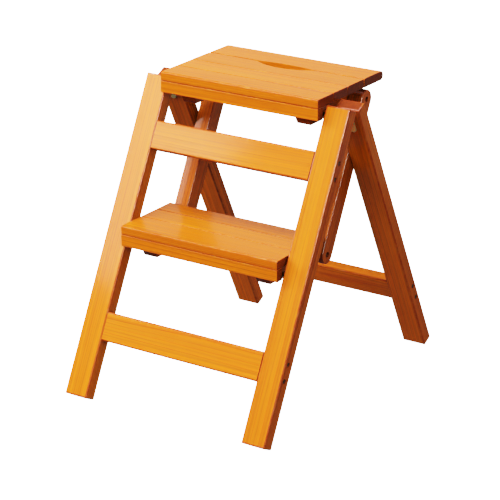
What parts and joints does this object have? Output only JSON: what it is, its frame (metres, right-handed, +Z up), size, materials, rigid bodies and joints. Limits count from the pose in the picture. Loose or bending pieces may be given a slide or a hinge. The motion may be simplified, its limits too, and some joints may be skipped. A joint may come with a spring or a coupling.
{
  "type": "folding step ladder",
  "caption": "Folding wooden step ladder: A-frame legs on strap hinges, slatted treads on bearers that fold up with link bars, hand slot in the top.",
  "frame": {"origin": "on the floor, under the middle of the footprint with the ladder open", "axes": "+Z up; -Y is the side that is climbed; +X to the right as seen from that side; millimetres in the source, metres in the row"},
  "size_m": [0.381, 0.526, 0.5],
  "materials": {
    "frame_wood": "glossy honey-coloured lacquer on pine, grain along each piece",
    "tread_wood": "glossy honey-coloured lacquer on pine, grain along each board",
    "bearer_wood": "satin amber lacquer on pine",
    "rod_wood": "satin lacquered hardwood dowel",
    "brass": "lightly brushed brass plate",
    "steel": "zinc-plated steel"
  },
  "bodies": {
    "front_frame": {"left_front_leg": "frame_wood", "right_front_leg": "frame_wood", "upper_front_rail": "frame_wood", "lower_front_rail": "frame_wood", "top_pivot_rod": "steel", "lower_pivot_rod": "steel", "upper_front_rail_left_screw_1": "steel", "upper_front_rail_left_screw_2": "steel", "upper_front_rail_right_screw_1": "steel", "upper_front_rail_right_screw_2": "steel", "lower_front_rail_left_screw_1": "steel", "lower_front_rail_left_screw_2": "steel", "lower_front_rail_right_screw_1": "steel", "lower_front_rail_right_screw_2": "steel", "left_hinge_front_leaf": "brass", "right_hinge_front_leaf": "brass", "left_hinge_pin": "brass", "right_hinge_pin": "brass", "left_hinge_front_screw_1": "brass", "left_hinge_front_screw_2": "brass", "right_hinge_front_screw_1": "brass", "right_hinge_front_screw_2": "brass"},
    "rear_frame": {"left_rear_leg": "frame_wood", "right_rear_leg": "frame_wood", "rear_rail": "frame_wood", "lock_rod": "rod_wood", "rear_rail_left_screw_1": "steel", "rear_rail_left_screw_2": "steel", "rear_rail_right_screw_1": "steel", "rear_rail_right_screw_2": "steel", "left_hinge_rear_leaf": "brass", "right_hinge_rear_leaf": "brass", "left_hinge_rear_screw_1": "brass", "left_hinge_rear_screw_2": "brass", "right_hinge_rear_screw_1": "brass", "right_hinge_rear_screw_2": "brass"},
    "top_tread": {"top_board_1": "tread_wood", "top_board_2": "tread_wood", "top_board_3": "tread_wood", "top_board_4": "tread_wood", "top_apron": "tread_wood", "top_left_bearer": "bearer_wood", "top_right_bearer": "bearer_wood"},
    "lower_tread": {"lower_board_1": "tread_wood", "lower_board_2": "tread_wood", "lower_board_3": "tread_wood", "lower_apron": "tread_wood", "lower_left_bearer": "bearer_wood", "lower_right_bearer": "bearer_wood"},
    "link_bars": {"left_link_bar": "bearer_wood", "right_link_bar": "bearer_wood", "left_link_top_bolt": "steel", "left_link_lower_bolt": "steel", "right_link_top_bolt": "steel", "right_link_lower_bolt": "steel"}
  },
  "joints": [
    {"name": "frame_fold", "type": "hinge", "parent": "front_frame", "child": "rear_frame", "pos_m": [0, 0.00089, 0.4752], "axis": [-1, 0, 0], "range_deg": [0, 53]},
    {"name": "top_tread_lift", "type": "hinge", "parent": "front_frame", "child": "top_tread", "pos_m": [0, -0.01899, 0.468], "axis": [1, 0, 0], "range_deg": [0, 39]},
    {"name": "lower_tread_lift", "type": "hinge", "parent": "front_frame", "child": "lower_tread", "pos_m": [0, -0.13391, 0.2405], "axis": [1, 0, 0], "range_deg": [0, 39]},
    {"name": "link_bar_pivot", "type": "hinge", "parent": "top_tread", "child": "link_bars", "pos_m": [0, 0.10401, 0.464], "axis": [-1, 0, 0], "range_deg": [0, 39]}
  ],
  "couplings": [
    {"joint": "top_tread_lift", "follows": "frame_fold", "ratio": 0.73585},
    {"joint": "lower_tread_lift", "follows": "frame_fold", "ratio": 0.73585},
    {"joint": "link_bar_pivot", "follows": "frame_fold", "ratio": 0.73585}
  ]
}
